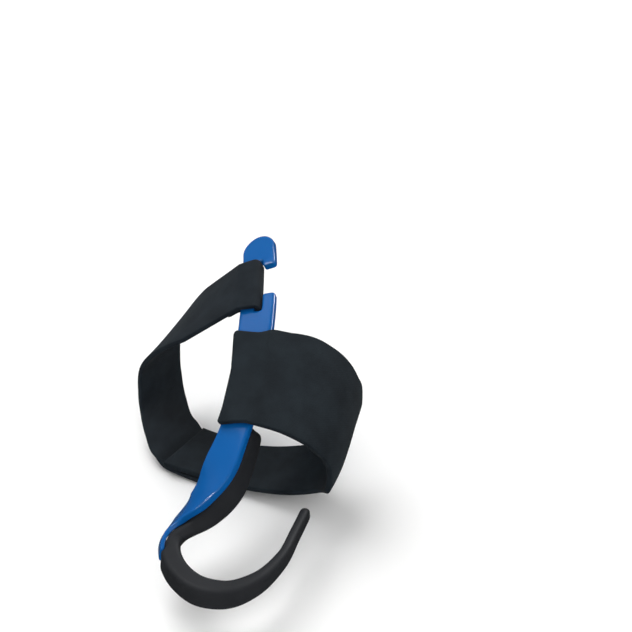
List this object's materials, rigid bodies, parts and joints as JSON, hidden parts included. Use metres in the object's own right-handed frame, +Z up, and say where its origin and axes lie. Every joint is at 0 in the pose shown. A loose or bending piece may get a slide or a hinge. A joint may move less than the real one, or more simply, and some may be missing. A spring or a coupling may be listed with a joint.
{
  "type": "bunion corrector",
  "caption": "Open bunion brace for a right foot: blue plastic splint with a slotted tab, foam hook round the big toe, wide band over the ball and a narrow strap.",
  "frame": {"origin": "underside of the splint in the middle of the wide band, where it rests on the instep of the foot", "axes": "+X to the inner side of the foot, +Y to the heel, +Z up from the sole"},
  "size_m": [0.0867, 0.1154, 0.0624],
  "materials": {
    "blue_plastic": "gloss",
    "black_foam": "satin",
    "band_fabric": "matt weave",
    "strap_fabric": "matt weave"
  },
  "bodies": {
    "root": {"splint": "blue_plastic", "toe_hook": "black_foam", "wide_band": "band_fabric", "narrow_strap": "strap_fabric"}
  },
  "joints": []
}
